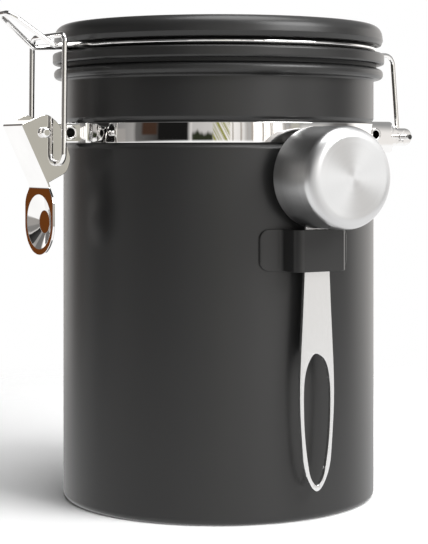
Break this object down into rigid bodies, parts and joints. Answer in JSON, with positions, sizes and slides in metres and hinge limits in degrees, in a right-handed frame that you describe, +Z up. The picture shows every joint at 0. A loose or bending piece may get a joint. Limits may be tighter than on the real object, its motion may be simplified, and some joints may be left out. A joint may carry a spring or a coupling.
{
  "type": "coffee canister",
  "caption": "Dark coated steel coffee canister with a hinged, gasketed lid, over-centre wire clasp, date dial, one-way valve and a scoop hung on its side.",
  "frame": {"origin": "centre of the flat base, on the canister's axis, at the resting face", "axes": "+Z up along the canister's axis, clasp towards -X, lid hinge towards +X, scoop towards -Y"},
  "size_m": [0.1776, 0.1517, 0.1826],
  "materials": {
    "coat": "satin dark grey powder coat",
    "polished": "polished",
    "seal": "matte black silicone",
    "liner_plastic": "matte dark grey",
    "dial_plastic": "matte black",
    "ring_plastic": "satin grey",
    "filter_paper": "white filter",
    "steel": "brushed"
  },
  "bodies": {
    "canister": {"canister_body": "coat", "neck_band_front": "polished", "neck_band_rear": "polished", "clasp_eyelet": "polished", "hinge_eyelet": "polished", "clasp_pivot_pin": "polished", "scoop_bracket": "coat"},
    "lever": {"clasp_lever": "polished"},
    "bail": {"clasp_bail": "polished"},
    "lid": {"lid_cap": "coat", "lid_pan": "coat", "lid_gasket": "seal", "lid_liner": "liner_plastic", "lid_wire": "polished", "dial_base": "dial_plastic", "valve_seat": "liner_plastic", "valve_cap": "dial_plastic", "valve_filter": "filter_paper", "liner_screw_1": "steel", "liner_screw_2": "steel", "liner_screw_3": "steel"},
    "day_ring": {"day_ring": "ring_plastic"},
    "month_ring": {"month_ring": "ring_plastic"},
    "valve_disc": {"valve_disc": "seal"},
    "scoop": {"scoop_cup": "steel", "scoop_handle": "steel"}
  },
  "joints": [
    {"name": "lever_turn", "type": "hinge", "parent": "canister", "child": "lever", "pos_m": [-0.0787, 0, 0.1389], "axis": [0, 1, 0], "range_deg": [0, 95]},
    {"name": "bail_turn", "type": "hinge", "parent": "lever", "child": "bail", "pos_m": [-0.0737, 0, 0.1279], "axis": [0, 1, 0], "range_deg": [-76, 0]},
    {"name": "lid_open", "type": "hinge", "parent": "canister", "child": "lid", "pos_m": [0.0803, 0, 0.138], "axis": [0, 1, 0], "range_deg": [0, 120]},
    {"name": "day_turn", "type": "hinge", "parent": "lid", "child": "day_ring", "pos_m": [0, 0, 0.1793], "axis": [0, 0, 1], "continuous": true},
    {"name": "month_turn", "type": "hinge", "parent": "lid", "child": "month_ring", "pos_m": [0, 0, 0.1793], "axis": [0, 0, 1], "continuous": true},
    {"name": "valve_lift", "type": "slide", "parent": "lid", "child": "valve_disc", "axis": [0, 0, 1], "range_m": [0, 0.0008], "stiffness_N_per_m": 40},
    {"name": "scoop_lift", "type": "slide", "parent": "canister", "child": "scoop", "axis": [0, 0, 1], "range_m": [0, 0.105]}
  ],
  "couplings": [
    {"joint": "bail_turn", "follows": "lever_turn", "ratio": -0.78}
  ]
}
